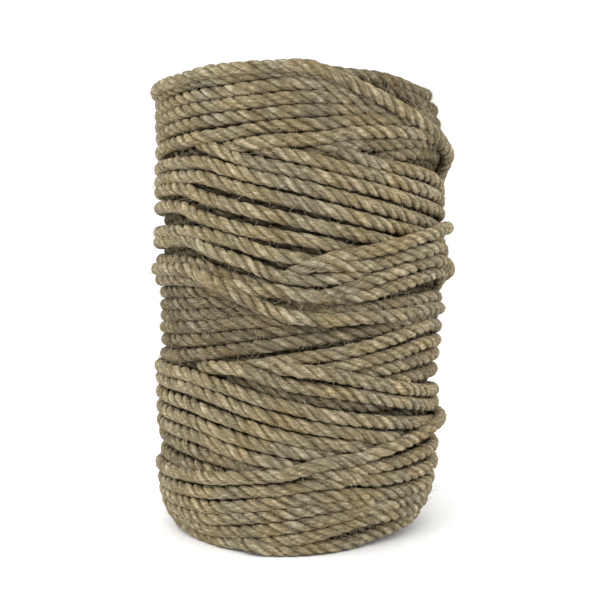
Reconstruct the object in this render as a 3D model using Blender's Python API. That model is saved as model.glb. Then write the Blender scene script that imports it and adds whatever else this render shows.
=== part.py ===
"""A free-standing roll of three-strand jute rope.

The rope was wound crosswise on a mandrel, which was then drawn out and left a hole down the
middle. The roll is one wound solid. Its turns are raised in the outer wall in seven bands. Each
band tilts its own way round the roll, and the first turn of most bands rides over the others.

Angles run round the roll from its front at -Y (0 degrees) towards +X (90 degrees). Lengths are
in metres, and the tables below are in millimetres.
"""

import math
from collections import namedtuple

import bmesh
import bpy

MM = 0.001

ROPE_DIAMETER = 6.0 * MM
HOLE_RADIUS = 19.0 * MM
ROLL_HEIGHT = 220.0 * MM

# Points round each ring of the mesh.
COLUMNS = 36

# The form that the turns lie on, read at a few heights on the left and on the right side.
Girth = namedtuple("Girth", "height left right")
GIRTHS = (
    Girth(0, 73.0, 69.0),
    Girth(35, 75.5, 71.5),
    Girth(75, 75.0, 73.0),
    Girth(105, 74.5, 73.5),
    Girth(132, 76.0, 76.5),
    Girth(165, 74.5, 74.5),
    Girth(190, 74.5, 75.5),
    Girth(225, 74.5, 75.0),
)

# How far the wall rounds in at the two ends, and over what height.
FOOT_ROUNDING_IN = 9.0 * MM
FOOT_ROUNDING_UP = 20.0 * MM
TOP_ROUNDING_LEFT = 6.0 * MM
TOP_ROUNDING_RIGHT = 15.0 * MM

# Height of each band's upper edge at eight places round the roll, its number of turns, and how
# far its first turn stands proud because it crosses the turns beneath.
Band = namedtuple(
    "Band",
    "name turns lift front front_right right back_right back back_left left front_left",
)
BANDS = (
    Band("shoulder", 4, 0.0, 220.0, 219.5, 219.0, 219.0, 220.0, 221.0, 222.5, 222.0),
    Band("rim", 7, 2.0, 214.5, 200.0, 184.0, 194.0, 206.0, 213.0, 217.5, 217.0),
    Band("slope", 8, 0.8, 178.0, 176.0, 172.0, 174.0, 181.0, 186.0, 188.0, 184.0),
    Band("crossing", 5, 2.0, 127.0, 145.0, 158.0, 156.0, 150.0, 146.0, 146.0, 137.0),
    Band("under", 6, 1.8, 109.0, 110.0, 113.0, 120.0, 128.0, 134.0, 138.0, 130.0),
    Band("low", 7, 1.2, 84.0, 74.0, 71.0, 74.0, 79.0, 83.0, 84.0, 85.5),
    Band("foot", 7, 2.0, 40.0, 50.0, 62.0, 55.0, 43.0, 34.0, 31.0, 33.0),
    Band("floor", 0, 0.0, 0.0, 0.0, 0.0, 0.0, 0.0, 0.0, 0.0, 0.0),
)

# The section of one turn: how far down the turn each row lies, and whether it is in the groove.
Row = namedtuple("Row", "share in_groove")
TURN_ROWS = (Row(0.0, True), Row(0.28, False), Row(0.72, False))
GROOVE_SHARE_OF_PITCH = 0.36

# The top face: rings of rope from the rim to the hole, a little sunk towards the middle.
TOP_RINGS = 7
TOP_RING_SHARES = (0.0, 0.5)
TOP_GROOVE = 1.6 * MM
TOP_SINK = 3.0 * MM
HOLE_EDGE = 2.0 * MM

JUTE_COLOUR = (0.35, 0.25, 0.125, 1.0)
JUTE_ROUGHNESS = 0.9


def clear_scene():
    for thing in list(bpy.data.objects):
        bpy.data.objects.remove(thing, do_unlink=True)


def round_the_roll(values, angle):
    """A smooth closed curve through values that lie evenly round the roll."""
    place = (angle / math.tau) % 1.0 * len(values)
    first = int(place)
    t = place - first
    before, start, end, after = (values[(first + k) % len(values)] for k in (-1, 0, 1, 2))
    return 0.5 * (
        2 * start
        + (end - before) * t
        + (2 * before - 5 * start + 4 * end - after) * t**2
        + (3 * start - before - 3 * end + after) * t**3
    )


def edge_height(band, angle):
    return round_the_roll(band[3:], angle) * MM


def girth_at(height, angle):
    """Radius of the form before its ends round in."""
    for low, high in zip(GIRTHS, GIRTHS[1:]):
        if height <= high.height * MM or high is GIRTHS[-1]:
            t = (height / MM - low.height) / (high.height - low.height)
            ease = t * t * (3 - 2 * t)
            left = low.left + (high.left - low.left) * ease
            right = low.right + (high.right - low.right) * ease
            side = math.sin(angle)
            return (left * (1 - side) + right * (1 + side)) / 2 * MM
    raise ValueError("no girth at this height")


def rounding(distance_to_end, length_in, length_up):
    """How far the wall has come in, this near an end: a quarter of an ellipse."""
    if distance_to_end >= length_up:
        return 0.0
    share = 1 - max(distance_to_end, 0.0) / length_up
    return length_in * (1 - math.sqrt(1 - share**2))


def wall_radius(height, angle):
    top = edge_height(BANDS[0], angle)
    top_rounding = (
        TOP_ROUNDING_LEFT * (1 - math.sin(angle)) + TOP_ROUNDING_RIGHT * (1 + math.sin(angle))
    ) / 2
    return (
        girth_at(height, angle)
        - rounding(height, FOOT_ROUNDING_IN, FOOT_ROUNDING_UP)
        - rounding(top - height, top_rounding, top_rounding)
    )


def ring(radius_and_height):
    """Points of one ring, from a function that gives radius and height at an angle."""
    points = []
    for column in range(COLUMNS):
        angle = math.tau * column / COLUMNS
        radius, height = radius_and_height(angle)
        points.append((radius * math.sin(angle), -radius * math.cos(angle), height))
    return points


def wall_row(band, below, turn, row):
    def at(angle):
        top = edge_height(band, angle)
        pitch = (top - edge_height(below, angle)) / band.turns
        height = top - pitch * (turn + row.share)
        radius = wall_radius(height, angle)
        if row.in_groove:
            radius -= GROOVE_SHARE_OF_PITCH * min(pitch, ROPE_DIAMETER)
        elif turn == 0:
            radius += band.lift * MM * min(pitch / ROPE_DIAMETER, 1.0)
        return radius, height

    return ring(at)


def wall_rings():
    """The outer wall, from the rim down to the floor."""
    rings = []
    for band, below in zip(BANDS, BANDS[1:]):
        for turn in range(band.turns):
            rings += [wall_row(band, below, turn, row) for row in TURN_ROWS]
    return rings


def foot_rings():
    """The flat face that the roll stands on, out to the wall and in to the hole."""
    return [
        ring(lambda angle: (wall_radius(0.0, angle), 0.0)),
        ring(lambda angle: (HOLE_RADIUS + HOLE_EDGE, 0.0)),
        ring(lambda angle: (HOLE_RADIUS, HOLE_EDGE)),
    ]


def top_height(share, angle):
    """Height of the top face, share of the way from the hole to the rim."""
    return edge_height(BANDS[0], angle) * share + (ROLL_HEIGHT - TOP_SINK) * (1 - share)


def top_rings():
    """The hole's upper edge, then the rings of the top face out to the rim."""
    rings = [ring(lambda angle: (HOLE_RADIUS, top_height(0.0, angle) - HOLE_EDGE))]
    for number in range(TOP_RINGS):
        for ring_share in TOP_RING_SHARES:
            share = (number + ring_share) / TOP_RINGS
            groove = TOP_GROOVE if ring_share == 0.0 and number else 0.0
            rings.append(ring(top_point(share, groove)))
    return rings


def top_point(share, groove):
    def at(angle):
        height = top_height(share, angle)
        inner = HOLE_RADIUS + HOLE_EDGE
        outer = wall_radius(edge_height(BANDS[0], angle), angle)
        return inner + (outer - inner) * share, height - groove

    return at


def build_roll():
    """Join the rings into one closed skin: down the wall, in, up the hole, and out again."""
    rings = wall_rings() + foot_rings() + top_rings()
    skin = bmesh.new()
    rows = [[skin.verts.new(point) for point in points] for points in rings]
    for upper, lower in zip(rows, rows[1:] + rows[:1]):
        for column in range(COLUMNS):
            after = (column + 1) % COLUMNS
            skin.faces.new((upper[column], lower[column], lower[after], upper[after]))
    bmesh.ops.triangulate(skin, faces=skin.faces)
    bmesh.ops.recalc_face_normals(skin, faces=skin.faces)
    mesh = bpy.data.meshes.new("rope_roll")
    skin.to_mesh(mesh)
    skin.free()
    mesh.shade_smooth()
    mesh.set_sharp_from_angle(angle=math.radians(50))
    mesh.materials.append(jute())
    roll = bpy.data.objects.new("rope_roll", mesh)
    bpy.context.collection.objects.link(roll)
    return roll


def jute():
    material = bpy.data.materials.new("jute")
    material.use_nodes = True
    shader = material.node_tree.nodes["Principled BSDF"]
    shader.inputs["Base Color"].default_value = JUTE_COLOUR
    shader.inputs["Roughness"].default_value = JUTE_ROUGHNESS
    shader.inputs["Metallic"].default_value = 0.0
    return material


clear_scene()
build_roll()
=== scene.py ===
# %% [markdown]
# # A roll of three-strand jute rope
#
# About 85 metres of 6 mm rope, wound crosswise on a mandrel into a roll that stands on its end. The
# mandrel was drawn out afterwards and left a hole down the middle. The CAD part gives the roll's size
# and its bands. This script lays the rope itself: every turn that shows is a real length of
# three-strand rope along its own path.
#
# Lengths are in metres and the tables are in millimetres. Angles run round the roll from its front at
# -Y (0 degrees) towards +X (90 degrees).

# %% Set up
import math
from collections import namedtuple

import bpy
import numpy as np
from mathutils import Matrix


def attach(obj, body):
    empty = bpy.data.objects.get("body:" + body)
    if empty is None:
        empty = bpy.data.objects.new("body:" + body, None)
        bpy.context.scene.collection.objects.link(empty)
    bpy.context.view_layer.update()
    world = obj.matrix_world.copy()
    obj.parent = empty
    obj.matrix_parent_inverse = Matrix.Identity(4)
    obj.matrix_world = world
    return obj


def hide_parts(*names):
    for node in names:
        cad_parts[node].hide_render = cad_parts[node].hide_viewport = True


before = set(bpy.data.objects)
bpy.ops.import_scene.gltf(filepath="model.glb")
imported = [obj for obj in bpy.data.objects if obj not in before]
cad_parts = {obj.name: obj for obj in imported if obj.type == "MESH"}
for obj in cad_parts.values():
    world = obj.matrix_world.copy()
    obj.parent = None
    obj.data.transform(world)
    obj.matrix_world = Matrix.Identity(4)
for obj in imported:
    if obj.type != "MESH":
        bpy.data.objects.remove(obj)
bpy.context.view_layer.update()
MM = 0.001
ROPE_RADIUS = 3.0 * MM
ROLL_HEIGHT = 220.5 * MM
HOLE_RADIUS = 19.0 * MM

# %% [markdown]
# ## Where the photograph was taken from
#
# The turns on the front are read off the photograph, so the script needs to know how a point in it
# lies on the roll. The rims of the roll curve upwards above a level line and downwards below it. That
# gives the eye's height. How strongly they curve gives its distance. The scene's camera stands in the
# same place, so that a turn is seen just where it was read.

# %% Camera
CAMERA_DISTANCE = 479.0 * MM
EYE_HEIGHT = 119.3 * MM
FOCAL_PIXELS = 924.0
PICTURE_SIZE = 600
AXIS_X, HORIZON_Y = 299.5, 290.0
SENSOR_WIDTH = 36.0

camera_data = bpy.data.cameras.new("camera")
camera_data.sensor_width = SENSOR_WIDTH
camera_data.lens = SENSOR_WIDTH * FOCAL_PIXELS / PICTURE_SIZE
camera = bpy.data.objects.new("camera", camera_data)
camera.location = (0.0, -CAMERA_DISTANCE, EYE_HEIGHT)
pitch = math.atan((PICTURE_SIZE / 2 - HORIZON_Y) / FOCAL_PIXELS)
camera.rotation_euler = (math.pi / 2 - pitch, 0.0, 0.0)
bpy.context.collection.objects.link(camera)
bpy.context.scene.camera = camera
print("lens", round(camera_data.lens, 2), "mm, pitched down", round(math.degrees(pitch), 2), "degrees")


def point_on_roll(x, y, radius):
    """Angle and height where the line of sight through a point of the picture meets a radius."""
    lean = math.atan((x - AXIS_X) / FOCAL_PIXELS)
    sine = CAMERA_DISTANCE * math.sin(lean) / radius
    angle = math.asin(max(-1.0, min(1.0, sine))) - lean
    reach = CAMERA_DISTANCE - radius * math.cos(angle)
    return angle, EYE_HEIGHT + (HORIZON_Y - y) * reach / FOCAL_PIXELS


# %% [markdown]
# ## The form the outer turns lie on
#
# Under the last turns lie about ten more layers, which make a nearly straight drum. It is a little
# slimmer at the right of the foot, and the rim is more rounded on the right than on the left. At the
# foot the wall rounds in far more at the sides than in front. A profile turned on a lathe would be
# the same all round, so the radius is a function of angle and height instead.

# %% Girth
Girth = namedtuple("Girth", "height left right")
GIRTHS = (
    Girth(0, 73.0, 70.0),
    Girth(40, 73.0, 70.5),
    Girth(80, 74.0, 71.5),
    Girth(110, 74.5, 73.0),
    Girth(135, 75.0, 74.5),
    Girth(165, 74.5, 74.0),
    Girth(225, 74.0, 73.0),
)
FOOT_IN_LEFT, FOOT_IN_RIGHT, FOOT_IN_FRONT = 16.0 * MM, 22.0 * MM, 4.0 * MM
FOOT_UP_LEFT, FOOT_UP_RIGHT = 28.0 * MM, 36.0 * MM
FOOT_FRONT, FOOT_FRONT_SHARPNESS = math.radians(-8), 8
TOP_ROUNDING_LEFT, TOP_ROUNDING_RIGHT = 6.0 * MM, 13.0 * MM


def rounding(to_end, length_in, length_up):
    """How far the wall comes in near an end: a quarter of an ellipse."""
    share = 1 - np.clip(to_end / length_up, 0.0, 1.0)
    return length_in * (1 - np.sqrt(1 - share**2))


def girth(angle, height):
    """Outer radius of the roll at an angle and a height."""
    rows = [row.height * MM for row in GIRTHS]
    left = np.interp(height, rows, [row.left * MM for row in GIRTHS])
    right = np.interp(height, rows, [row.right * MM for row in GIRTHS])
    to_right = (1 + np.sin(angle)) / 2
    body = left + (right - left) * to_right
    top = TOP_ROUNDING_LEFT + (TOP_ROUNDING_RIGHT - TOP_ROUNDING_LEFT) * to_right
    foot_in = FOOT_IN_LEFT + (FOOT_IN_RIGHT - FOOT_IN_LEFT) * to_right
    in_front = np.clip(np.cos(angle - FOOT_FRONT), 0.0, 1.0) ** FOOT_FRONT_SHARPNESS
    foot_in += (FOOT_IN_FRONT - foot_in) * in_front
    foot_up = FOOT_UP_LEFT + (FOOT_UP_RIGHT - FOOT_UP_LEFT) * to_right
    foot = rounding(height, foot_in, foot_up)
    return body - foot - rounding(ROLL_HEIGHT - height, top, top)


middle = ROLL_HEIGHT / 2
for side, angle in (("left", -math.pi / 2), ("front", 0.0), ("right", math.pi / 2)):
    print("radius half way up,", side, round(float(girth(angle, middle)) / MM, 1), "mm")


# %% [markdown]
# ## The turns that show
#
# The winder ran the rope up and down the drum, so the last layers lie in groups that tilt different
# ways and cross. A helix for each group would be shorter, but no turn is quite like the next. So each
# turn below lists the points where its middle shows in the photograph, from left to right. `start`
# and `end` say whether it carries on round the side ("on") or goes beneath its neighbours ("under").
# `left` and `right` are its level there, in layers above the drum's own.
#
# The groups stand in the order in which they were wound: a later group rides over an earlier one.

# %% Turns
Turn = namedtuple("Turn", "start end left right seen")
UNDER_TURNS = (
    Turn("on", "under", -0.6, -0.7, ((190, 304), (215, 302), (240, 303), (258, 304))),
    Turn("on", "under", -0.6, -0.6, (
        (200, 315), (220, 314), (240, 312), (285, 309), (310, 307), (331, 305.5), (350, 303.5))),
    Turn("on", "on", -0.7, 0.0, (
        (200, 327), (220, 325), (240, 322), (275, 320), (310, 316), (340, 312), (361, 309.5),
        (375, 307), (389, 304.5), (403, 302), (421, 299), (431, 296))),
    Turn("on", "under", -0.6, -0.7, (
        (200, 340), (220, 338), (240, 335.5), (260, 332.5), (280, 330), (300, 328), (314, 327))),
    Turn("on", "on", -0.5, -0.4, (
        (185, 356), (200, 354), (220, 352), (240, 349), (260, 347), (280, 344), (300, 341), (320, 338),
        (340, 335), (360, 332), (380, 328), (410, 320), (430, 313))),
    Turn("under", "on", -0.4, 0.0, (
        (252, 366), (264, 364.5), (280, 361.5), (300, 359), (320, 356), (340, 353.5), (355, 349.5),
        (370, 346), (385, 341), (400, 335.5), (412, 330), (430, 324))),
    Turn("under", "on", -0.4, 0.0, (
        (320, 371), (345, 366), (370, 360), (385, 356), (400, 352), (412, 347), (430, 341))),
    Turn("under", "on", -0.4, -0.1, ((370, 372), (385, 369), (400, 365), (415, 360), (430, 355))),
    Turn("under", "on", -0.4, -0.2, ((392, 381), (415, 375), (430, 370))),
    Turn("under", "under", -0.6, -0.6, (
        (248, 382), (262, 386), (275, 391), (290, 396), (315, 401), (340, 404), (365, 406))),
)
WEDGE_TURNS = (
    Turn("under", "on", -0.4, -0.3, (
        (320, 151), (338, 147), (360, 145.5), (384, 145.5), (407, 142.5), (418, 143.5), (436, 148))),
    Turn("under", "on", -0.4, -0.4, ((388, 157.5), (407, 154), (424, 154), (436, 156))),
)
SLOPE_TURNS = (
    Turn("under", "on", 0.0, 0.0, (
        (350, 156), (360, 159.5), (372, 163), (389, 167), (410, 171), (430, 178))),
    Turn("under", "on", 0.0, 0.0, (
        (271, 151), (290, 155.5), (310, 159), (330, 164.5), (350, 169.5), (370, 174.5), (390, 180),
        (410, 186), (430, 193))),
    Turn("under", "on", 0.0, 0.0, (
        (211, 148), (222, 152), (230, 155), (242, 159.5), (263, 165), (290, 170), (310, 174),
        (330, 179), (350, 184), (370, 188.5), (390, 194), (410, 201), (430, 208))),
    Turn("on", "on", 0.0, 0.0, (
        (200, 162.5), (220, 167.5), (240, 173), (260, 178), (280, 182), (300, 186.5), (320, 192),
        (340, 197.3), (360, 202.5), (380, 208), (410, 217), (430, 225))),
    Turn("on", "on", 0.0, 0.0, (
        (200, 177), (220, 183), (240, 188.5), (260, 193.5), (280, 198.5), (300, 203), (320, 208),
        (340, 213), (360, 218.5), (380, 224), (410, 231))),
    Turn("on", "on", 0.0, 0.0, (
        (185, 189), (200, 196.5), (220, 202.5), (240, 208.2), (260, 213), (280, 217), (300, 221.7),
        (320, 226.5), (340, 231), (360, 235), (390, 242.5))),
    Turn("on", "under", 0.0, -0.2, (
        (180, 207), (200, 217), (220, 223.5), (240, 229), (260, 233), (280, 236.5), (320, 243),
        (335, 247))),
    Turn("on", "under", 0.0, -0.2, ((200, 233), (220, 238.5), (240, 243.7), (262, 252), (300, 259))),
    Turn("on", "under", 0.0, -0.1, (
        (190, 241), (209, 250.5), (224, 256), (240, 261), (254, 266.5), (264, 272), (283, 277.5),
        (303, 280), (318, 280.5), (331, 279), (345, 277), (356, 275.5))),
    Turn("on", "under", -0.3, -0.6, (
        (200, 265), (218, 273), (229, 277), (240, 280.5), (250, 283), (262, 286), (272, 288))),
    Turn("on", "under", -0.6, -0.1, (
        (190, 292), (205, 292), (220, 292), (235, 293), (250, 293.5), (265, 293), (278, 293.5),
        (293, 298), (305, 302), (316, 303.5))),
)
RIM_TURNS = (
    Turn("under", "on", -0.5, -0.4, (
        (335, 74), (350, 76), (363, 77), (375, 78), (389, 81.5), (403, 86.5), (417, 93), (430, 98))),
    Turn("on", "under", 0.0, -0.4, (
        (200, 82), (225, 79), (240, 76.5), (255, 74.5), (270, 73.5), (285, 72.5), (300, 73.5),
        (312, 76), (322, 79.5))),
    Turn("under", "on", -0.9, -0.5, ((400, 95), (411, 99.5), (422, 106), (433, 112))),
    Turn("on", "under", 0.0, -0.5, (
        (200, 96), (225, 93), (240, 90), (255, 88), (270, 86.5), (285, 84.5), (315, 84.5), (326, 87),
        (345, 92))),
    Turn("under", "on", -0.9, -0.5, ((414, 109), (424, 115), (436, 123))),
    Turn("on", "under", 0.0, -0.5, (
        (200, 109), (225, 105.5), (240, 103), (255, 102), (270, 100), (285, 98.5), (330, 98),
        (345, 99.5), (371, 102))),
    Turn("under", "on", -0.9, -0.5, ((428, 122), (434, 127), (441, 134))),
    Turn("on", "on", 0.0, -0.4, (
        (200, 123), (225, 119), (240, 117), (255, 116), (270, 114), (285, 112), (330, 110.5),
        (361, 110.5), (378, 110), (390, 111))),
    Turn("on", "on", 0.0, -0.2, (
        (200, 138), (225, 134.5), (240, 132), (255, 129), (270, 127.5), (285, 126), (330, 124),
        (345, 122), (380, 120.5), (395, 121), (409, 123))),
    Turn("under", "on", 0.0, 0.0, (
        (238, 146), (255, 143), (270, 141.5), (285, 140), (300, 140), (330, 137), (345, 134),
        (360, 133), (395, 132), (407, 132.5), (418, 134))),
)
LOW_TURNS = (
    Turn("under", "on", 0.0, 0.0, (
        (285, 369), (300, 371), (320, 373), (340, 377), (360, 381), (380, 385), (400, 388), (430, 390))),
    Turn("under", "on", 0.1, 0.0, (
        (213, 367.5), (226, 368), (240, 369.5), (255, 374), (265, 379), (280, 383), (300, 387),
        (340, 393), (380, 399), (400, 402), (430, 404))),
    Turn("on", "on", 0.1, 0.0, (
        (190, 375), (200, 379), (215, 384), (230, 389), (245, 395), (275, 404), (300, 410), (320, 415),
        (340, 418), (380, 422), (400, 423), (420, 422))),
    Turn("on", "under", 0.0, -0.1, (
        (190, 388), (200, 392), (215, 398), (230, 404), (245, 410), (275, 419), (300, 426), (320, 429),
        (340, 432), (360, 435), (375, 438), (390, 438))),
    Turn("on", "under", 0.0, -0.1, (
        (190, 404), (200, 409), (215, 415), (230, 421), (245, 426), (260, 431), (275, 435), (300, 441),
        (320, 444), (340, 446), (355, 447))),
    Turn("on", "under", 0.0, -0.1, (
        (190, 420), (205, 427), (220, 433), (235, 438), (250, 443), (265, 447), (280, 450), (300, 454),
        (320, 456))),
    Turn("on", "under", 0.0, -0.1, (
        (195, 436), (205, 440), (220, 447), (235, 453), (250, 458), (265, 461), (290, 467))),
    Turn("on", "under", -0.2, -0.4, ((185, 446), (200, 453), (215, 458), (235, 464), (247, 469))),
    Turn("on", "under", -0.3, -0.6, ((175, 458), (190, 465), (205, 469), (218, 474))),
)
FOOT_TURNS = (
    Turn("under", "on", -0.2, 0.1, (
        (345, 472), (365, 469), (385, 465), (400, 461), (415, 455), (430, 447))),
    Turn("under", "on", 0.1, 0.1, (
        (320, 474), (345, 477), (360, 480), (380, 480), (400, 476), (415, 472), (430, 464))),
    Turn("on", "under", 0.0, -0.1, (
        (200, 492), (240, 492), (260, 491), (280, 490), (300, 487), (320, 484), (340, 482))),
    Turn("on", "on", 0.0, 0.0, (
        (200, 506), (260, 505), (280, 503), (300, 500), (320, 498), (340, 495), (370, 495), (400, 491),
        (420, 485))),
    Turn("on", "under", 0.0, -0.3, (
        (200, 517), (240, 518), (260, 517), (280, 515), (300, 512), (320, 508), (355, 503), (370, 503))),
    Turn("on", "on", 0.0, 0.0, (
        (190, 521), (205, 528), (230, 532), (250, 532), (270, 530), (290, 527), (310, 524), (330, 519),
        (350, 514), (370, 509), (385, 506), (405, 500), (420, 494))),
    Turn("on", "on", 0.0, 0.0, (
        (184, 524.5), (196, 532), (208, 537.5), (220, 541), (232, 542.5), (245, 543), (261, 543),
        (278, 542), (294, 540), (310, 536.5), (326, 532.5), (341, 527.5), (356, 522), (367, 519),
        (380, 516.5), (392, 514), (407, 509), (418, 503))),
    Turn("under", "on", 0.0, 0.0, (
        (248, 545.5), (262, 548.5), (275, 550), (288, 550.5), (304, 549), (316, 547.5), (328, 546.5),
        (340, 545), (352, 542), (366, 537), (382, 530.5), (392, 527), (402, 522), (412, 514))),
)
RISING_TURNS = (
    Turn("under", "on", 0.2, 0.3, (
        (310, 266), (320, 262), (335, 257.5), (350, 254.5), (361, 253), (375, 250.5), (389, 247),
        (400, 244), (410, 241), (422, 237), (435, 231.5), (442, 228))),
    Turn("under", "on", 0.0, 0.2, (
        (332, 265.5), (345, 265.5), (361, 266), (375, 265), (389, 260.5), (403, 256), (421, 251.5),
        (438, 247))),
    Turn("under", "on", -0.7, 0.2, (
        (340, 297), (354, 296), (371, 294), (382, 290), (392, 286.5), (400, 284.5), (410, 281),
        (421, 277), (431, 273.5), (442, 270))),
    Turn("on", "on", -0.4, 0.4, (
        (195, 280), (210, 282.5), (225, 284.5), (240, 287), (254, 290), (268, 290.5), (282, 292),
        (292, 294), (303, 296), (316, 297), (327, 296.5), (338, 293), (352, 288), (366, 282.5),
        (380, 277.5), (394, 272.5), (408, 267), (422, 263), (435, 260))),
)
BELT_TURNS = (
    Turn("on", "on", 0.2, 0.2, (
        (205, 478), (260, 477), (280, 476), (300, 471), (320, 465), (340, 462), (355, 460), (370, 455),
        (385, 450), (400, 444), (420, 434), (430, 427))),
)
CROSSING_TURNS = (
    Turn("on", "on", 0.0, 0.3, (
        (165, 86), (180, 81), (200, 74.5), (225, 69), (255, 66), (285, 65.5), (300, 66), (310, 67.5),
        (320, 70.5), (335, 77), (350, 83.5), (365, 90.5), (380, 98), (395, 106.5), (410, 115.5),
        (425, 125.5), (435, 134.5), (442, 145), (445, 157))),
    Turn("on", "on", 0.2, 0.2, (
        (190, 270), (203, 277), (215, 284), (231, 293), (242, 298), (258, 305), (271, 311),
        (285, 316), (300, 318.5), (315, 320), (327, 320.5), (340, 320), (352, 318.5), (365, 317.5),
        (380, 316.5), (400, 314.5), (415, 311.5), (430, 308))),
)
GROUPS = {
    "under": UNDER_TURNS,
    "wedge": WEDGE_TURNS,
    "slope": SLOPE_TURNS,
    "rim": RIM_TURNS,
    "low": LOW_TURNS,
    "foot": FOOT_TURNS,
    "rising": RISING_TURNS,
    "belt": BELT_TURNS,
    "crossing": CROSSING_TURNS,
}
TURNS = [(group, turn) for group, turns in GROUPS.items() for turn in turns]
print(len(TURNS), "turns in", len(GROUPS), "groups")

# %% [markdown]
# ## From the photograph to the roll
#
# A point in the photograph is a line of sight, and how far along it the rope lies depends on the
# radius there. The first estimate takes the drum's girth and the turn's level. Once the turns have
# been stacked, the radius of every point is known better, and the places are found again with it.

# %% Places on the roll
# the turns bed into each other, so a layer is a little thinner than the rope
LAYER = 5.2 * MM
# a turn has passed out of sight at this angle to either side
SIDE = math.radians(100)
SETTLING_ROUNDS = 14
SETTLING_STEP = 0.5


def level_at(turn, angle):
    """Level of a turn at an angle: it changes most near an end that goes beneath."""
    share = min(max((angle + SIDE) / (2 * SIDE), 0.0), 1.0)
    if turn.end == "under":
        share = share**3
    elif turn.start == "under":
        share = 1 - (1 - share) ** 3
    return turn.left + (turn.right - turn.left) * share


def settle(turn, x, y):
    """First estimate of where one seen point lies: angle, height and level."""
    angle, height = 0.0, EYE_HEIGHT
    for _ in range(SETTLING_ROUNDS):
        level = level_at(turn, angle)
        radius = float(girth(angle, height)) - ROPE_RADIUS + level * LAYER
        angle, aim = point_on_roll(x, y, radius)
        aim = min(max(aim, ROPE_RADIUS), ROLL_HEIGHT - ROPE_RADIUS)
        height += SETTLING_STEP * (aim - height)
    return angle, height, level


def places(turn, radii=None):
    """Angle, height and level of each seen point of a turn."""
    if radii is None:
        return np.array([settle(turn, x, y) for x, y in turn.seen])
    found = [point_on_roll(x, y, radius) for (x, y), radius in zip(turn.seen, radii)]
    return np.array([(angle, height, level_at(turn, angle)) for angle, height in found])


angle, height, level = places(TURNS[0][1])[0]
print("first point:", round(math.degrees(angle)), "degrees,", round(height / MM), "mm up")


# %% [markdown]
# ## Round the back
#
# The back can't be seen, so what each turn does there has to be worked out. Past its last seen point
# a turn carries on at its own slope for a little way, or it goes beneath its neighbours.

# %% The ends of a turn
# a turn that goes beneath does so over this angle, down to this level
DIVE = math.radians(8)
DIVE_LEVEL = -1.25
# a turn keeps its slope this far past its last seen point, but climbs no faster than this a radian
STRAIGHT_ON = math.radians(14)
STEEPEST = 12.0 * MM
LEAST_REACH = 0.15

Ends = namedtuple("Ends", "place before after")


def side_knots(turn, place):
    """Where a turn is before its first seen point and after its last."""
    angle, height, level = place.T
    begin = (height[1] - height[0]) / (angle[1] - angle[0])
    finish = (height[-1] - height[-2]) / (angle[-1] - angle[-2])
    if turn.start == "on":
        reach = max(angle[0] + SIDE, LEAST_REACH)
        rise = min(max(begin, -STEEPEST), STEEPEST) * min(reach, STRAIGHT_ON)
        before = (angle[0] - reach, height[0] - rise, level[0])
    else:
        before = (angle[0] - DIVE, height[0] - begin * DIVE, DIVE_LEVEL)
    if turn.end == "on":
        reach = max(SIDE - angle[-1], LEAST_REACH)
        rise = min(max(finish, -STEEPEST), STEEPEST) * min(reach, STRAIGHT_ON)
        after = (angle[-1] + reach, height[-1] + rise, level[-1])
    else:
        after = (angle[-1] + DIVE, height[-1] + finish * DIVE, DIVE_LEVEL)
    return before, after


# %% [markdown]
# Where they pass out of sight, the turns lie side by side without a gap to spare. Rings would be the
# simplest way to close them, but a real roll is wound from one length of rope. A turn that leaves at
# the right comes round and returns at the left about one turn lower, so the ends at the two sides
# are paired in order of height.

# %% Pair the sides
LEAST_PITCH = 5.4 * MM
SPREAD_ROUNDS = 400
# how much higher or lower a turn may come round
RISE_ALLOWED = 1.0 * MM
FALL_ALLOWED = 16.0 * MM


def spread(heights, least):
    """Push heights apart until neighbours are at least so far from each other."""
    order = np.argsort(heights)
    apart = np.array(heights)[order]
    for _ in range(SPREAD_ROUNDS):
        lack = np.clip(least - np.diff(apart), 0.0, None) / 2
        apart[:-1] -= lack
        apart[1:] += lack
        apart = np.clip(apart, ROPE_RADIUS, ROLL_HEIGHT - ROPE_RADIUS)
    result = np.empty_like(apart)
    result[order] = apart
    return result


def leaving_and_coming():
    leaving = [n for n, (_, turn) in enumerate(TURNS) if turn.end == "on"]
    coming = [n for n, (_, turn) in enumerate(TURNS) if turn.start == "on"]
    return leaving, coming


def space_sides(ends):
    """The turns lie side by side where they pass out of sight."""
    leaving, coming = leaving_and_coming()
    high = spread([ends[n].after[1] for n in leaving], LEAST_PITCH)
    for number, height in zip(leaving, high):
        angle, _, level = ends[number].after
        ends[number] = ends[number]._replace(after=(angle, height, level))
    high = spread([ends[n].before[1] for n in coming], LEAST_PITCH)
    for number, height in zip(coming, high):
        angle, _, level = ends[number].before
        ends[number] = ends[number]._replace(before=(angle, height, level))
    return ends


def pair_sides(ends):
    """For each turn that leaves at the right, the turn that returns at the left."""
    leaving, coming = leaving_and_coming()
    leaving.sort(key=lambda n: -ends[n].after[1])
    coming.sort(key=lambda n: -ends[n].before[1])
    print("at the right", [round(ends[n].after[1] / MM) for n in leaving])
    print("at the left", [round(ends[n].before[1] / MM) for n in coming])
    pairs, nearest = {}, 0
    for number in leaving:
        height = ends[number].after[1]
        while nearest < len(coming) and ends[coming[nearest]].before[1] > height + RISE_ALLOWED:
            nearest += 1
        if nearest < len(coming) and height - ends[coming[nearest]].before[1] < FALL_ALLOWED:
            pairs[number] = coming[nearest]
            nearest += 1
    return pairs


print([len(side) for side in leaving_and_coming()], "turns leave at the right and come in at the left")


# %% [markdown]
# Turns that are joined make one length of rope. Where one side has more turns than the other, the
# rope that is left over goes under its neighbours at the back.

# %% Chains of turns
# rope that is left over goes under this far past the middle of the back
PAST_BACK = math.radians(40)
KNOT_GAP = 0.001


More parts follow.
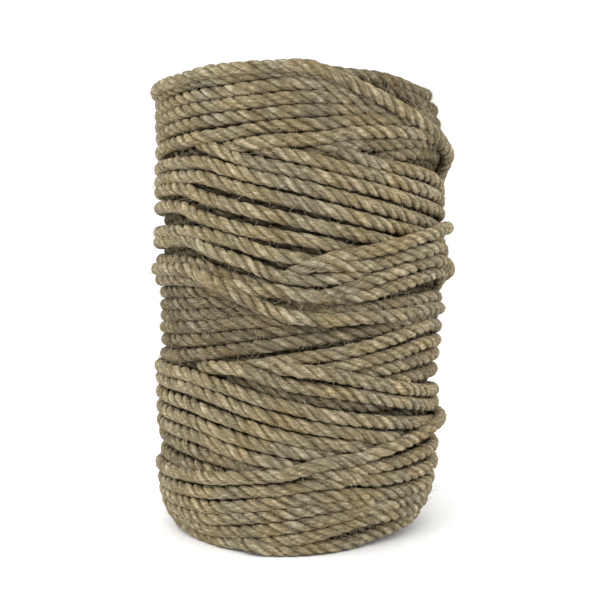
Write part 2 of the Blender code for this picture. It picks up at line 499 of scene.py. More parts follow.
def chains_of(pairs):
    """Runs of turns that are one length of rope."""
    heads = [n for n in range(len(TURNS)) if n not in pairs.values()]
    chains, used = [], set()
    for head in heads + list(range(len(TURNS))):
        chain = []
        while head is not None and head not in used:
            used.add(head)
            chain.append(head)
            head = pairs.get(head)
        if chain:
            chains.append(chain)
    return chains


def knots_of_chain(chain, ends):
    """Angle, height and level along a chain. Each new turn adds 360 degrees."""
    knots = []
    first, last = TURNS[chain[0]][1], TURNS[chain[-1]][1]
    if first.start == "on":
        knots.append((-math.pi - PAST_BACK, ends[chain[0]].before[1], DIVE_LEVEL))
    for lap, number in enumerate(chain):
        shift = (math.tau * lap, 0.0, 0.0)
        rows = [ends[number].before, *ends[number].place, ends[number].after]
        knots += [tuple(np.add(row, shift)) for row in rows]
    if last.end == "on":
        end = math.tau * (len(chain) - 1) + math.pi + PAST_BACK
        knots.append((end, ends[chain[-1]].after[1], DIVE_LEVEL))
    knots = np.array(sorted(knots))
    return knots[np.concatenate([[True], np.diff(knots[:, 0]) > KNOT_GAP])]


# %% [markdown]
# ## A smooth rope through the knots
#
# The rope is bent round the drum under tension, so between two knots it neither overshoots nor turns
# sharply. A Bezier curve through the knots would swing past them. A monotone cubic doesn't, and a
# short average along the rope takes out what sharpness is left.

# %% Curves
def monotone(x, knots_x, knots_y):
    """A cubic through the knots that never overshoots them."""
    gaps = np.diff(knots_x)
    chords = np.diff(knots_y) / gaps
    slopes = np.zeros_like(knots_y)
    before, after = chords[:-1], chords[1:]
    same = before * after > 0
    weight_a = 2 * gaps[1:] + gaps[:-1]
    weight_b = gaps[1:] + 2 * gaps[:-1]
    safe_before = np.where(same, before, 1.0)
    safe_after = np.where(same, after, 1.0)
    mean = (weight_a + weight_b) / (weight_a / safe_before + weight_b / safe_after)
    slopes[1:-1] = np.where(same, mean, 0.0)
    slopes[0], slopes[-1] = chords[0], chords[-1]
    i = np.clip(np.searchsorted(knots_x, x, side="right") - 1, 0, len(gaps) - 1)
    t = (x - knots_x[i]) / gaps[i]
    return (
        (1 + 2 * t) * (1 - t) ** 2 * knots_y[i]
        + t * (1 - t) ** 2 * gaps[i] * slopes[i]
        + t * t * (3 - 2 * t) * knots_y[i + 1]
        - t * t * (1 - t) * gaps[i] * slopes[i + 1]
    )


def average(values, degrees):
    """A Gaussian average along the rope, which has one value a degree."""
    reach = int(3 * degrees)
    weights = np.exp(-0.5 * (np.arange(-reach, reach + 1) / degrees) ** 2)
    return np.convolve(np.pad(values, reach, mode="edge"), weights / weights.sum(), mode="valid")


def highest(values, reach):
    """The largest value within reach of each place along the rope."""
    padded = np.pad(values, reach, mode="edge")
    return np.max([padded[k : k + len(values)] for k in range(2 * reach + 1)], axis=0)


# %% [markdown]
# ## Stack the turns
#
# Each turn lies on what was wound before it. A rigid body simulation could find out how, but it would
# also move the turns from where they were seen. So, going through the groups in their order, each
# degree of a turn is lifted until it clears the ropes already there. Jute gives, so two ropes that
# press on each other come closer than a whole diameter. A turn with a level below zero is wedged
# down between its neighbours and is lifted less.

# %% Stack
# how near the middles of two ropes come
CONTACT = 4.6 * MM
CONTACT_WITHIN_GROUP = 2.6 * MM
# how much less a wedged turn is lifted for each layer of its level, and the most any is lifted
FORGIVE = 12.0 * MM
MOST_LIFT = 5.0 * MM
# room for this many turns at each degree
MOST_TURNS = 90
# averages along the rope, in degrees
HEIGHT_AVERAGE = 2.5
LIFT_REACH, LIFT_AVERAGE = 2, 3.0
RADIUS_AVERAGE = 2.0
STACKINGS = 3


class Laid:
    """The ropes already laid, at each whole degree round the roll."""

    def __init__(self):
        self.height = np.full((360, MOST_TURNS), -1.0)
        self.radius = np.zeros((360, MOST_TURNS))
        self.group = np.full((360, MOST_TURNS), -1)
        self.count = np.zeros(360, dtype=int)

    def lift(self, column, height, radius, group):
        """The radius a rope needs, to lie on these."""
        apart = np.abs(self.height[column % 360] - height[:, None])
        own = self.group[column % 360] == group
        contact = np.where(own, CONTACT_WITHIN_GROUP, CONTACT)
        over = np.sqrt(np.clip(contact**2 - apart**2, 0.0, None))
        need = np.where(apart < contact, self.radius[column % 360] + over, 0.0)
        return np.maximum(radius, need.max(axis=1))

    def add(self, column, height, radius, group):
        for where, h, r in zip(column % 360, height, radius):
            self.height[where, self.count[where]] = h
            self.radius[where, self.count[where]] = r
            self.group[where, self.count[where]] = group
            self.count[where] += 1


def loose_ropes(chains, ends):
    """Column (whole degrees), height, level, lap and radius along every chain, not yet lifted."""
    ropes = []
    for chain in chains:
        knots = knots_of_chain(chain, ends)
        low, high = np.degrees(knots[0, 0]), np.degrees(knots[-1, 0])
        column = np.arange(math.ceil(low), math.floor(high) + 1)
        theta = np.radians(column)
        height = average(monotone(theta, knots[:, 0], knots[:, 1]), HEIGHT_AVERAGE)
        level = monotone(theta, knots[:, 0], knots[:, 2])
        lap = np.clip(np.floor((column + 180) / 360), 0, len(chain) - 1).astype(int)
        radius = girth(theta, height) - ROPE_RADIUS + level * LAYER
        ropes.append(dict(column=column, height=height, level=level, lap=lap, radius=radius))
    return ropes


def lift_turn(laid, rope, lap, group):
    """Lift one turn off what was laid before it, and lay it too."""
    part = rope["lap"] == lap
    column, height, base = rope["column"][part], rope["height"][part], rope["radius"][part]
    level = rope["level"][part]
    need = laid.lift(column, height, base, group)
    need = np.where(level < 0, np.maximum(base, need + level * FORGIVE), need)
    need = np.minimum(need, girth(np.radians(column), height) - ROPE_RADIUS + MOST_LIFT)
    need = average(highest(need, LIFT_REACH), LIFT_AVERAGE)
    rope["radius"][part] = need
    laid.add(column, height, need, group)


def stack(ropes, where):
    """Lift every turn, in the order in which they were wound."""
    laid = Laid()
    for number, (group, _) in enumerate(TURNS):
        chain_number, lap = where[number]
        lift_turn(laid, ropes[chain_number], lap, list(GROUPS).index(group))
    for rope in ropes:
        rope["radius"] = average(rope["radius"], RADIUS_AVERAGE)


# %% Stack, and read the places again
radii = [None] * len(TURNS)
for attempt in range(STACKINGS):
    ends = []
    for (_, turn), turn_radii in zip(TURNS, radii):
        place = places(turn, turn_radii)
        ends.append(Ends(place, *side_knots(turn, place)))
    ends = space_sides(ends)
    if attempt == 0:
        chains = chains_of(pair_sides(ends))
        where = {number: (c, lap) for c, chain in enumerate(chains) for lap, number in enumerate(chain)}
    ropes = loose_ropes(chains, ends)
    stack(ropes, where)
    for number, (c, lap) in where.items():
        column = np.degrees(ends[number].place[:, 0]) + 360 * lap
        radii[number] = np.interp(column, ropes[c]["column"], ropes[c]["radius"])
outermost = max(rope["radius"].max() for rope in ropes) + ROPE_RADIUS
turns_long = sum(len(rope["column"]) for rope in ropes) / 360
print(len(chains), "lengths of rope,", round(turns_long, 1), "turns")
print("out to", round(outermost / MM, 1), "mm from the axis")

# %% [markdown]
# ## The layer beneath, the hole and the two ends
#
# Between the outer turns the layer below shows as dark rope in the gaps. It is one helix from foot
# to rim that sways a little up and down as it goes round, because it was wound crosswise too. The
# wall of the hole is a plain helix. The top and the foot are flat spirals from the edge to the hole.
# Each is a formula, so it takes a function and no table.

# %% Bed, hole, top and foot
BED_LEVEL = -1.0
BED_PITCH, BED_SWAY = 5.2 * MM, 5.0 * MM
BED_LEAN = 0.7
# how fast the sway grows from nothing at either end
SWAY_GROWTH = 6
HOLE_PITCH = 6.2 * MM
TOP_RADIUS, TOP_LEAN, TOP_SUNK, TOP_LAPS = 63.5 * MM, 4.0 * MM, 5.0 * MM, 7
FOOT_RADIUS, FOOT_LAPS = 50.0 * MM, 5
DEEP_FALL = 0.75


def helix(radius_at, low, high, pitch, sway, degrees):
    """Angle, height and radius along a helix from low to high."""
    laps = (high - low) / pitch
    theta = np.radians(np.arange(0, 360 * laps, degrees))
    share = theta / theta[-1]
    fade = np.minimum(1.0, np.minimum(share, 1 - share) * SWAY_GROWTH)
    height = low + (high - low) * share + sway * fade * np.sin(theta + BED_LEAN)
    return theta, height, radius_at(theta, height)


def spiral(height, outer_at, laps, degrees):
    """Angle, height and radius along a flat spiral that winds inwards to the hole."""
    theta = np.radians(np.arange(0, 360 * laps, degrees))
    share = theta / theta[-1]
    radius = outer_at(theta) * (1 - share) + (HOLE_RADIUS + ROPE_RADIUS) * share
    return theta, np.full_like(theta, height), radius


def points(theta, height, radius, sunk=0.0):
    """Points of a path, each with how far it lies below the outer layer, from 0 to 1."""
    place = [radius * np.sin(theta), -radius * np.cos(theta), height]
    return np.column_stack(place + [np.full_like(theta, 1.0) * sunk])


def bed_radius(theta, height):
    return girth(theta, height) - ROPE_RADIUS + BED_LEVEL * LAYER


def hole_radius(theta, height):
    return np.full_like(theta, HOLE_RADIUS + ROPE_RADIUS)


def top_radius(theta):
    return TOP_RADIUS - TOP_LEAN * np.sin(theta)


def foot_radius(theta):
    return np.full_like(theta, FOOT_RADIUS)


low, high = ROPE_RADIUS, ROLL_HEIGHT - ROPE_RADIUS
# the layer beneath lies a full layer deep, so it gets the full painted shade
bed = points(*helix(bed_radius, low, high - 1.0 * MM, BED_PITCH, BED_SWAY, 3), sunk=1.0)
hole = points(*helix(hole_radius, low, high - 3.0 * MM, HOLE_PITCH, 0.0, 6))
top = points(*spiral(ROLL_HEIGHT - TOP_SUNK, top_radius, TOP_LAPS, 4))
foot = points(*spiral(ROPE_RADIUS, foot_radius, FOOT_LAPS, 4))
outer = {group: [] for group in GROUPS}
for chain, rope in zip(chains, ropes):
    theta = np.radians(rope["column"])
    height = np.clip(rope["height"], low, high)
    # how far each point lies below the girth, which sets its painted shade in the material
    depth = (girth(theta, height) - ROPE_RADIUS - rope["radius"]) / LAYER
    sunk = np.clip(depth, 0.0, 1.0) ** DEEP_FALL
    outer[TURNS[chain[0]][0]].append(points(theta, height, rope["radius"], sunk))
print({group: len(lines) for group, lines in outer.items()}, "lengths of rope that start in each group")

# %% [markdown]
# ## Three-strand rope along a path
#
# The rope is laid up from three strands, right-handed, one full twist every 20 mm. It could be made
# as three separate strands, but only their outer halves ever show. So a section of three circles
# that overlap is swept along the path while it turns. That gives the strands and the grooves
# between them with far fewer faces. A node tree does this for every path, and a few helpers make
# its nodes quick to write.

# %% Node helpers
def new_tree(name, sockets):
    tree = bpy.data.node_groups.new(name, "GeometryNodeTree")
    for socket_name, kind in sockets:
        tree.interface.new_socket(socket_name, in_out="INPUT", socket_type=kind)
    tree.interface.new_socket("Geometry", in_out="OUTPUT", socket_type="NodeSocketGeometry")
    return tree


def add(tree, kind, inputs=None, **settings):
    """A node with its settings, and inputs given as values or as sockets to link from."""
    node = tree.nodes.new(kind)
    for key, value in settings.items():
        setattr(node, key, value)
    for key, value in (inputs or {}).items():
        socket = node.inputs[key]
        if isinstance(value, bpy.types.NodeSocket):
            tree.links.new(value, socket)
        else:
            socket.default_value = value
    return node


def maths(tree, operation, *values):
    return add(tree, "ShaderNodeMath", dict(enumerate(values)), operation=operation).outputs[0]


def vectors(tree, operation, inputs):
    return add(tree, "ShaderNodeVectorMath", inputs, operation=operation).outputs[0]


def position(tree):
    return add(tree, "GeometryNodeInputPosition").outputs[0]


def store(tree, geometry, name, value, kind="FLOAT"):
    """Keep a value on each point under a name."""
    node = add(tree, "GeometryNodeStoreNamedAttribute", {
        "Geometry": geometry, "Name": name, "Value": value}, data_type=kind, domain="POINT")
    return node.outputs[0]


def stored(tree, name):
    """A number that was kept under a name."""
    return add(tree, "GeometryNodeInputNamedAttribute", {"Name": name}, data_type="FLOAT").outputs[0]


def either_way(tree, colour):
    """A noise colour as an offset that goes either way."""
    return vectors(tree, "SUBTRACT", {0: colour, 1: (0.5, 0.5, 0.5)})


def finish_tree(tree, geometry, material):
    """Shade smooth, make instances real, give the material, and hand the result out."""
    smooth = add(tree, "GeometryNodeSetShadeSmooth", {"Geometry": geometry})
    whole = add(tree, "GeometryNodeRealizeInstances", {"Geometry": smooth.outputs[0]})
    done = add(tree, "GeometryNodeSetMaterial", {"Geometry": whole.outputs[0], "Material": material})
    result = tree.nodes.new("NodeGroupOutput")
    tree.links.new(done.outputs[0], result.inputs[0])
    print(tree.name, "has", len(tree.nodes), "nodes")
    return tree


# %% [markdown]
# A real rope is never quite even. Its path wanders by a fraction of a millimetre, its twist runs
# ahead or lags, and its thickness varies. Random numbers for each point would make it jagged, so
# smooth noise along the path gives all three. Each piece has its own seed.

# %% The path of the rope
WANDERS_PER_METRE = 28.0
UNEVEN_PER_METRE = 45.0
UNEVEN_MOST = 0.8
TWIST_UNEVEN = 0.25
GIRTH_UNEVEN = 0.09


def path_noise(tree, given, per_metre):
    return add(tree, "ShaderNodeTexNoise", {
        "Vector": position(tree), "W": given["Seed"], "Scale": per_metre, "Detail": 1.0},
        noise_dimensions="4D").outputs


def uneven_path(tree, given):
    """The line that the rope follows, with its tilt and thickness and how far along it is."""
    line = add(tree, "GeometryNodeMeshToCurve", {"Mesh": given["Geometry"]})
    even = add(tree, "GeometryNodeResampleCurve", {
        "Curve": line.outputs[0], "Length": given["Step"]}, mode="LENGTH")
    drift = path_noise(tree, given, WANDERS_PER_METRE)["Color"]
    wander = vectors(tree, "SCALE", {0: either_way(tree, drift), "Scale": given["Wander"]})
    loose = add(tree, "GeometryNodeSetPosition", {"Geometry": even.outputs[0], "Offset": wander})

    length = add(tree, "GeometryNodeSplineParameter").outputs["Length"]
    beat = path_noise(tree, given, UNEVEN_PER_METRE)[0]
    uneven = maths(tree, "MULTIPLY_ADD", beat, 2 * UNEVEN_MOST, -UNEVEN_MOST)
    turns = maths(tree, "DIVIDE", length, given["Lay"])
    turned = maths(tree, "ADD", turns, maths(tree, "MULTIPLY", uneven, TWIST_UNEVEN))
    kept = store(tree, loose.outputs[0], "twist", maths(tree, "MULTIPLY", turned, math.tau))
    kept = store(tree, kept, "along", length)
    upright = add(tree, "GeometryNodeSetCurveNormal", {"Curve": kept}, mode="Z_UP")
    tilted = add(tree, "GeometryNodeSetCurveTilt", {
        "Curve": upright.outputs[0], "Tilt": stored(tree, "twist")})
    thick = add(tree, "GeometryNodeSetCurveRadius", {
        "Curve": tilted.outputs[0], "Radius": maths(tree, "MULTIPLY_ADD", uneven, GIRTH_UNEVEN, 1.0)})
    return thick.outputs[0]


# %% [markdown]
# Three circles that overlap come to a radius that follows the cosine of one and a half times the
# angle. The fullness rounds the crowns and sharpens the grooves. How near a point is to a crown is
# kept too, because little light reaches the grooves and the material has to know where they are.

# %% The section of the rope
STRANDS = 3


def strand_section(tree, given):
    circle = add(tree, "GeometryNodeCurvePrimitiveCircle", {
        "Resolution": given["Points Round"], "Radius": 1.0})
    at = position(tree)
    corner = add(tree, "ShaderNodeSeparateXYZ", {0: at})
    around = maths(tree, "ARCTAN2", corner.outputs[1], corner.outputs[0])
    wave = maths(tree, "ABSOLUTE", maths(tree, "COSINE", maths(tree, "MULTIPLY", around, STRANDS / 2)))
    crown = maths(tree, "POWER", wave, given["Fullness"])
    rise = maths(tree, "SUBTRACT", given["Radius"], given["Notch"])
    reach = maths(tree, "MULTIPLY_ADD", crown, rise, given["Notch"])
    marked = store(tree, circle.outputs[0], "around", around)
    marked = store(tree, marked, "crown", crown)
    shaped = add(tree, "GeometryNodeSetPosition", {
        "Geometry": marked, "Position": vectors(tree, "SCALE", {0: at, "Scale": reach})})
    return shaped.outputs[0]


# %% [markdown]
# The fibres in the material have to follow the rope round every bend. So each point of the swept
# mesh keeps where it lies round and along the rope: once for the fibres, and once for the strand
# that it belongs to. Last come small lumps, because yarn is thicker in some places than in others.

# %% The rope's tree
STRAND_TONES_PER_METRE = 30.0
LUMPS_PER_METRE = 520.0
LUMP_HEIGHT = 0.5 * MM


def with_fibre_places(tree, rope, given):
    around, along = stored(tree, "around"), stored(tree, "along")
    facing = maths(tree, "ADD", stored(tree, "twist"), around)
    fibre = add(tree, "ShaderNodeCombineXYZ", {
        0: maths(tree, "MULTIPLY", maths(tree, "COSINE", facing), given["Radius"]),
        1: maths(tree, "MULTIPLY", maths(tree, "SINE", facing), given["Radius"]),
        2: along})
    strand = add(tree, "ShaderNodeCombineXYZ", {
        0: maths(tree, "COSINE", around),
        1: maths(tree, "SINE", around),
        2: maths(tree, "MULTIPLY", along, STRAND_TONES_PER_METRE)})
    marked = store(tree, rope, "fibre", fibre.outputs[0], "FLOAT_VECTOR")
    return store(tree, marked, "strand", strand.outputs[0], "FLOAT_VECTOR")


def with_lumps(tree, rope):
    noise = add(tree, "ShaderNodeTexNoise", {
        "Vector": position(tree), "Scale": LUMPS_PER_METRE, "Detail": 2.0})
    lump = maths(tree, "MULTIPLY_ADD", noise.outputs[0], 2 * LUMP_HEIGHT, -LUMP_HEIGHT)
    outward = add(tree, "GeometryNodeInputNormal").outputs[0]
    lumpy = add(tree, "GeometryNodeSetPosition", {
        "Geometry": rope, "Offset": vectors(tree, "SCALE", {0: outward, "Scale": lump})})
    return lumpy.outputs[0]


def rope_tree():
    tree = new_tree("rope_along_path", (
        ("Geometry", "NodeSocketGeometry"),
        ("Radius", "NodeSocketFloat"),
        ("Notch", "NodeSocketFloat"),
        ("Fullness", "NodeSocketFloat"),
        ("Lay", "NodeSocketFloat"),
        ("Step", "NodeSocketFloat"),
        ("Points Round", "NodeSocketInt"),
        ("Wander", "NodeSocketFloat"),
        ("Seed", "NodeSocketFloat"),
        ("Material", "NodeSocketMaterial"),
    ))
    given = tree.nodes.new("NodeGroupInput").outputs
    swept = add(tree, "GeometryNodeCurveToMesh", {
        "Curve": uneven_path(tree, given),
        "Profile Curve": strand_section(tree, given),
        "Fill Caps": True})
    marked = with_fibre_places(tree, swept.outputs[0], given)
    return finish_tree(tree, with_lumps(tree, marked), given["Material"])


ROPE_TREE = rope_tree()

# %% [markdown]
# ## The material
#
# Jute is a dull, coarse plant fibre. Its colour runs from straw to brown with a cast of olive, from
# fibre to fibre and slowly along the rope. A picture of jute could be laid round the rope, but noise
# needs no seam and never repeats. The fibres lie nearly along the rope, so the finer noise is
# drawn out in that direction. Painted shade makes the grooves between the strands darker, and a
# painted highlight makes their crowns lighter. Rope that lies deep in the roll gets painted shade too.

# %% Jute
JUTE_DARK = (0.060, 0.046, 0.023, 1.0)
JUTE_MIDDLE = (0.235, 0.197, 0.122, 1.0)
JUTE_LIGHT = (0.60, 0.53, 0.39, 1.0)
DARK_AT, MIDDLE_AT, LIGHT_AT = 0.33, 0.52, 0.70
# painted light on the strand crowns and painted shade in the grooves between the strands
CROWN_PAINTED_LIGHT, GROOVE_PAINTED_SHADE = 0.12, 0.098
GOLDEN = (1.08, 0.99, 0.84)
GREYED = (0.96, 0.995, 1.03)
# painted shade: how much darker rope is made where it lies a full layer deep in the roll
DEEP_PAINTED_SHADE = 0.6
STRAY_FIBRE = (0.50, 0.44, 0.31, 1.0)

# noise on the rope: how fine it is across and along, per metre, and its share of the tone
Grain = namedtuple("Grain", "across along detail share")
FINE = Grain(2600.0, 170.0, 3.0, 0.25)
TUFTS = Grain(800.0, 330.0, 2.0, 0.37)
SLOW_FINENESS, SLOW_SHARE = 1.1, 0.38
PATCHES_PER_METRE = 60.0
PATCH_CONTRAST, PATCH_OFFSET = 2.4, -0.7


def dull_shader(name, roughness, gloss):
    material = bpy.data.materials.new(name)
    material.use_nodes = True
    shader = material.node_tree.nodes["Principled BSDF"]
    shader.inputs["Roughness"].default_value = roughness
    shader.inputs["Specular IOR Level"].default_value = gloss
    shader.inputs["Metallic"].default_value = 0.0
    return material, material.node_tree, shader


def kept_on_rope(tree, name, output="Fac"):
    return add(tree, "ShaderNodeAttribute", attribute_name=name).outputs[output]


def grain_noise(tree, grain):
    """Noise drawn out along the rope."""
    fibre = kept_on_rope(tree, "fibre", "Vector")
    drawn_out = vectors(tree, "MULTIPLY", {0: fibre, 1: (grain.across, grain.across, grain.along)})
    noise = add(tree, "ShaderNodeTexNoise", {
        "Vector": drawn_out, "Scale": 1.0, "Detail": grain.detail, "Roughness": 0.6})
    return noise.outputs[0]


def jute_tone(tree, fine):
    """How light the jute is, from the three kinds of noise, with painted light on the strand crowns and
    painted shade in the grooves.
    """
    slow = add(tree, "ShaderNodeTexNoise", {
        "Vector": kept_on_rope(tree, "strand", "Vector"), "Scale": SLOW_FINENESS, "Detail": 2.0})
    tone = maths(
        tree, "ADD",
        maths(tree, "MULTIPLY", fine, FINE.share),
        maths(tree, "MULTIPLY", grain_noise(tree, TUFTS), TUFTS.share))
    tone = maths(tree, "ADD", tone, maths(tree, "MULTIPLY", slow.outputs[0], SLOW_SHARE))
    # painted light on the crowns, painted shade in the grooves
    crown = kept_on_rope(tree, "crown")
    return maths(tree, "ADD", tone, maths(tree, "MULTIPLY_ADD", crown, CROWN_PAINTED_LIGHT, -GROOVE_PAINTED_SHADE))


def jute_cast(tree):
    """A golden or greyed cast in patches, with painted shade where the rope lies deep."""
    where_on_roll = add(tree, "ShaderNodeTexCoord").outputs["Object"]
    patches = add(tree, "ShaderNodeTexNoise", {
        "Vector": where_on_roll, "Scale": PATCHES_PER_METRE, "Detail": 2.0})
    golden = maths(tree, "MULTIPLY_ADD", patches.outputs[0], PATCH_CONTRAST, PATCH_OFFSET)
    cast = add(tree, "ShaderNodeMix", {"Factor": golden, "A": GREYED, "B": GOLDEN}, data_type="VECTOR")
    # painted shade on rope that lies deep in the roll, by its sunk value
    painted_deep_shade = maths(tree, "MULTIPLY_ADD", kept_on_rope(tree, "sunk"), -DEEP_PAINTED_SHADE, 1.0)
    return vectors(tree, "SCALE", {0: cast.outputs["Result"], "Scale": painted_deep_shade})


def jute_material():
    material, tree, shader = dull_shader("jute", 0.92, 0.15)
    fine = grain_noise(tree, FINE)
    ramp = add(tree, "ShaderNodeValToRGB", {0: jute_tone(tree, fine)})
    ramp.color_ramp.elements[0].position = DARK_AT
    ramp.color_ramp.elements[0].color = JUTE_DARK
    ramp.color_ramp.elements[1].position = LIGHT_AT
    ramp.color_ramp.elements[1].color = JUTE_LIGHT
    middle = ramp.color_ramp.elements.new(MIDDLE_AT)
    middle.color = JUTE_MIDDLE
    tinted = vectors(tree, "MULTIPLY", {0: ramp.outputs[0], 1: jute_cast(tree)})
    tree.links.new(tinted, shader.inputs["Base Color"])
    bump = add(tree, "ShaderNodeBump", {"Height": fine, "Strength": 0.8, "Distance": 0.6 * MM})
    tree.links.new(bump.outputs[0], shader.inputs["Normal"])
    return material


def stray_material():
    material, _, shader = dull_shader("stray_fibre", 0.92, 0.15)
    shader.inputs["Base Color"].default_value = STRAY_FIBRE
    return material


JUTE = jute_material()
STRAY = stray_material()
print("jute material:", len(JUTE.node_tree.nodes), "nodes")

# %% [markdown]
# ## Lay the rope
#
# Each length of rope goes into the piece of the group that it starts in. The bed, the hole, the top
# and the foot are pieces too, and are made coarser because little of them shows. Every path is a
# line of points that the node tree sweeps. The result is kept as a plain mesh, because the tree is
# only the tool that made it.

# %% Sweep
LAY = 20.0 * MM
STRAND_CROWN = 3.2 * MM
STRAND_NOTCH = 2.15 * MM
STRAND_FULLNESS = 0.45
WANDER = 0.5 * MM
OUTER_STEP, OUTER_POINTS_ROUND = 1.5 * MM, 24


def path_mesh(name, lines):
    """One mesh of loose edges from several lines of points."""
    mesh = bpy.data.meshes.new(name)
    verts = np.vstack(lines)
    edges, start = [], 0
    for line in lines:
        edges += [(start + k, start + k + 1) for k in range(len(line) - 1)]
        start += len(line)
    mesh.from_pydata(verts[:, :3].tolist(), edges, [])
    mesh.attributes.new("sunk", "FLOAT", "POINT").data.foreach_set("value", verts[:, 3])
    return mesh


def made_by_tree(name, mesh, tree, values):
    """A plain mesh object of what a node tree makes from a mesh."""
    source = bpy.data.objects.new(name + "_source", mesh)
    bpy.context.collection.objects.link(source)
    modifier = source.modifiers.new("nodes", "NODES")
    modifier.node_group = tree
    for item in tree.interface.items_tree:
        if item.item_type == "SOCKET" and item.in_out == "INPUT" and item.name in values:
            modifier[item.identifier] = values[item.name]
    graph = bpy.context.evaluated_depsgraph_get()
    made = bpy.data.meshes.new_from_object(source.evaluated_get(graph), depsgraph=graph)
    made.name = name
    plain = bpy.data.objects.new(name, made)
    bpy.context.collection.objects.link(plain)
    bpy.data.objects.remove(source, do_unlink=True)
    return plain


def triangles(thing):
    return sum(len(face.vertices) - 2 for face in thing.data.polygons)


def lay_rope(name, lines, step, points_round, seed, wander=WANDER):
    rope = made_by_tree(name, path_mesh(name + "_path", lines), ROPE_TREE, {
        "Radius": STRAND_CROWN,
        "Notch": STRAND_NOTCH,
        "Fullness": STRAND_FULLNESS,
        "Lay": LAY,
        "Step": step,
        "Points Round": points_round,
        "Wander": wander,
        "Seed": float(seed),
        "Material": JUTE,
    })
    length = sum(np.linalg.norm(np.diff(line[:, :3], axis=0), axis=1).sum() for line in lines)
    print(f"{name}: {length:.2f} m of rope, {triangles(rope)} triangles")
    return rope


outer_ropes = [
    lay_rope("rope_" + group, lines, OUTER_STEP, OUTER_POINTS_ROUND, seed)
    for seed, (group, lines) in enumerate(outer.items())
    if lines
]
inner_ropes = [
    lay_rope("rope_beneath", [bed], 3.0 * MM, 12, 21),
    lay_rope("rope_hole", [hole], 3.5 * MM, 9, 22),
    lay_rope("rope_top_end", [top], 2.5 * MM, 12, 23),
    lay_rope("rope_foot_end", [foot], 3.5 * MM, 9, 24, wander=0.0),
]
print(sum(map(triangles, outer_ropes + inner_ropes)), "triangles of rope")

# %% [markdown]
# ## Stray fibres
#
# Jute sheds. Short fibres stand off the yarn all over, most of them lying nearly flat. A hair
# system would do it, but the result has to be a mesh. So a tree scatters thin tapering hairs on the
# outward side of the outer turns, each with its own length, lean and curl.

# %% Stray fibres
OUTWARD_LEAST = 0.25
LEAN_LEAST, LEAN_MOST = 0.7, 1.5
HAIR_POINTS = 5
CURLS_PER_METRE = 260.0
TIP_THINNER = 0.6


def open_places(tree, given):
    """True on the outward side of a rope, clear of the floor by the longest fibre."""
    flat = vectors(tree, "MULTIPLY", {0: position(tree), 1: (1.0, 1.0, 0.0)})
    facing = add(tree, "ShaderNodeVectorMath", {
        0: vectors(tree, "NORMALIZE", {0: flat}),
        1: add(tree, "GeometryNodeInputNormal").outputs[0]}, operation="DOT_PRODUCT")
    outward = maths(tree, "GREATER_THAN", facing.outputs["Value"], OUTWARD_LEAST)
    height = add(tree, "ShaderNodeSeparateXYZ", {0: position(tree)}).outputs["Z"]
    longest = maths(tree, "MULTIPLY_ADD", given["Curl"], 0.5, given["Longest"])
    return maths(tree, "MULTIPLY", outward, maths(tree, "GREATER_THAN", height, longest))


def random_number(tree, given, low, high, stream):
    """A random number for each fibre. Each use has a stream of its own."""
    seed = maths(tree, "ADD", given["Seed"], stream)
    return add(tree, "FunctionNodeRandomValue", {
        "Min": low, "Max": high, "Seed": seed}, data_type="FLOAT").outputs["Value"]


def leaning_hairs(tree, given, scattered):
    """Straight hairs on the scattered points, each turned, leaned and scaled at random."""
    spin = add(tree, "ShaderNodeCombineXYZ", {2: random_number(tree, given, 0.0, math.tau, 1.0)})
    lean = add(tree, "ShaderNodeCombineXYZ", {
        0: random_number(tree, given, LEAN_LEAST, LEAN_MOST, 2.0)})
    spun = add(tree, "FunctionNodeRotateRotation", {
        0: scattered.outputs["Rotation"], 1: spin.outputs[0]}, rotation_space="LOCAL")
    leaned = add(tree, "FunctionNodeRotateRotation", {
        0: spun.outputs[0], 1: lean.outputs[0]}, rotation_space="LOCAL")
    straight = add(tree, "GeometryNodeCurvePrimitiveLine", {"End": (0.0, 0.0, 1.0)})
    jointed = add(tree, "GeometryNodeResampleCurve", {
        "Curve": straight.outputs[0], "Count": HAIR_POINTS})
    hairs = add(tree, "GeometryNodeInstanceOnPoints", {
        "Points": scattered.outputs["Points"],
        "Instance": jointed.outputs[0],
        "Rotation": leaned.outputs[0],
        "Scale": random_number(tree, given, given["Shortest"], given["Longest"], 3.0)})
    return add(tree, "GeometryNodeRealizeInstances", {"Geometry": hairs.outputs[0]}).outputs[0]


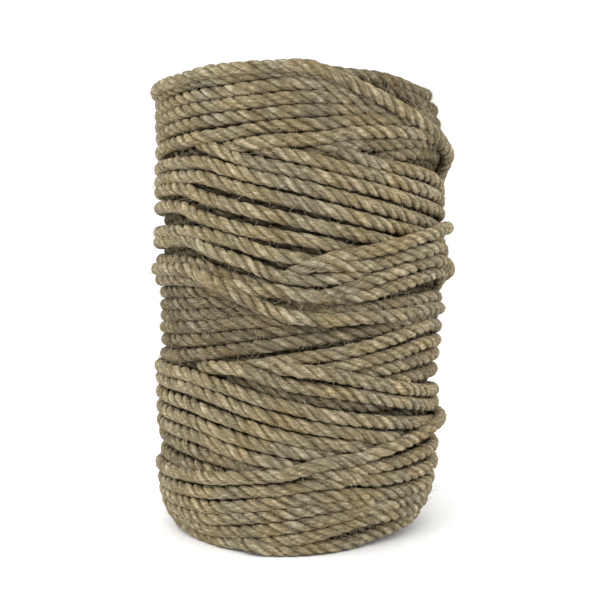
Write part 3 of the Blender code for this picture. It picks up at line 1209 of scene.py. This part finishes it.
def stray_tree():
    tree = new_tree("stray_fibres", (
        ("Geometry", "NodeSocketGeometry"),
        ("Density", "NodeSocketFloat"),
        ("Shortest", "NodeSocketFloat"),
        ("Longest", "NodeSocketFloat"),
        ("Thickness", "NodeSocketFloat"),
        ("Curl", "NodeSocketFloat"),
        ("Seed", "NodeSocketInt"),
        ("Material", "NodeSocketMaterial"),
    ))
    given = tree.nodes.new("NodeGroupInput").outputs
    scattered = add(tree, "GeometryNodeDistributePointsOnFaces", {
        "Mesh": given["Geometry"], "Selection": open_places(tree, given),
        "Density": given["Density"], "Seed": given["Seed"]})
    hairs = leaning_hairs(tree, given, scattered)
    share = add(tree, "GeometryNodeSplineParameter").outputs["Factor"]
    swirl = add(tree, "ShaderNodeTexNoise", {
        "Vector": position(tree), "Scale": CURLS_PER_METRE, "Detail": 0.0})
    pull = vectors(tree, "SCALE", {
        0: either_way(tree, swirl.outputs["Color"]),
        "Scale": maths(tree, "MULTIPLY", share, given["Curl"])})
    curled = add(tree, "GeometryNodeSetPosition", {"Geometry": hairs, "Offset": pull})
    tapered = add(tree, "GeometryNodeSetCurveRadius", {
        "Curve": curled.outputs[0],
        "Radius": maths(tree, "MULTIPLY_ADD", share, -TIP_THINNER, 1.0)})
    section = add(tree, "GeometryNodeCurvePrimitiveCircle", {
        "Resolution": 3, "Radius": given["Thickness"]})
    swept = add(tree, "GeometryNodeCurveToMesh", {
        "Curve": tapered.outputs[0], "Profile Curve": section.outputs[0]})
    return finish_tree(tree, swept.outputs[0], given["Material"])


def joined_mesh(name, ropes):
    """One mesh with the faces of several ropes."""
    mesh = bpy.data.meshes.new(name)
    verts, faces, start = [], [], 0
    for rope in ropes:
        verts += [tuple(v.co) for v in rope.data.vertices]
        faces += [tuple(start + k for k in face.vertices) for face in rope.data.polygons]
        start += len(rope.data.vertices)
    mesh.from_pydata(verts, [], faces)
    return mesh


stray_fibres = made_by_tree("stray_fibres", joined_mesh("outer_ropes", outer_ropes), stray_tree(), {
    "Density": 48000.0,
    "Shortest": 1.5 * MM,
    "Longest": 6.5 * MM,
    "Thickness": 0.048 * MM,
    "Curl": 3.5 * MM,
    "Seed": 5,
    "Material": STRAY,
})
pieces = outer_ropes + inner_ropes + [stray_fibres]
print("stray fibres:", triangles(stray_fibres), "triangles")

# %% [markdown]
# ## Floor and light
#
# The roll stands on a plain pale floor. A bright even sky would do alone, but it shows no form. So
# one large soft light stands in front and above, and two smaller ones stand at the sides, where
# they lift the edges of the roll.

# %% Studio
FLOOR_REACH = 3.0
SKY_STRENGTH = 1.1

floor_mesh = bpy.data.meshes.new("floor")
floor_corners = [(x * FLOOR_REACH, y * FLOOR_REACH, 0) for x, y in ((-1, -1), (1, -1), (1, 1), (-1, 1))]
floor_mesh.from_pydata(floor_corners, [], [(0, 1, 2, 3)])
floor_white, _, floor_shader = dull_shader("floor_white", 0.9, 0.1)
floor_shader.inputs["Base Color"].default_value = (0.97, 0.97, 0.97, 1.0)
floor_mesh.materials.append(floor_white)
floor = bpy.data.objects.new("floor", floor_mesh)
bpy.context.collection.objects.link(floor)

sky = bpy.data.worlds.new("studio")
sky.use_nodes = True
sky.node_tree.nodes["Background"].inputs["Color"].default_value = (1.0, 1.0, 1.0, 1.0)
sky.node_tree.nodes["Background"].inputs["Strength"].default_value = SKY_STRENGTH
bpy.context.scene.world = sky


def soft_light(name, place, aim, size, power):
    """A rectangular light at a place, turned to face a point."""
    data = bpy.data.lights.new(name, "AREA")
    data.shape = "RECTANGLE"
    data.size, data.size_y = size
    data.energy = power
    light = bpy.data.objects.new(name, data)
    light.location = place
    direction = np.subtract(aim, place)
    flat = math.hypot(direction[0], direction[1])
    light.rotation_euler = (
        math.pi / 2 + math.atan2(direction[2], flat), 0.0, math.atan2(-direction[0], direction[1]))
    bpy.context.collection.objects.link(light)


soft_light("key", (-0.25, -0.9, 0.85), (0, 0, 0.12), (0.7, 0.5), 6.0)
soft_light("left", (-0.9, -0.15, 0.35), (0, 0, 0.11), (0.3, 0.7), 3.5)
soft_light("right", (0.9, -0.15, 0.35), (0, 0, 0.11), (0.3, 0.7), 2.5)
bpy.context.scene.view_settings.view_transform = "Standard"
print(len(bpy.data.lights), "lights")

# %% [markdown]
# ## The pieces join the body
#
# The ropes take the place of the CAD solid. They all belong to the one body, and the ropes wear the
# jute material.

# %% Finish
for piece in pieces:
    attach(piece, "root")
    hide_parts("rope_roll")
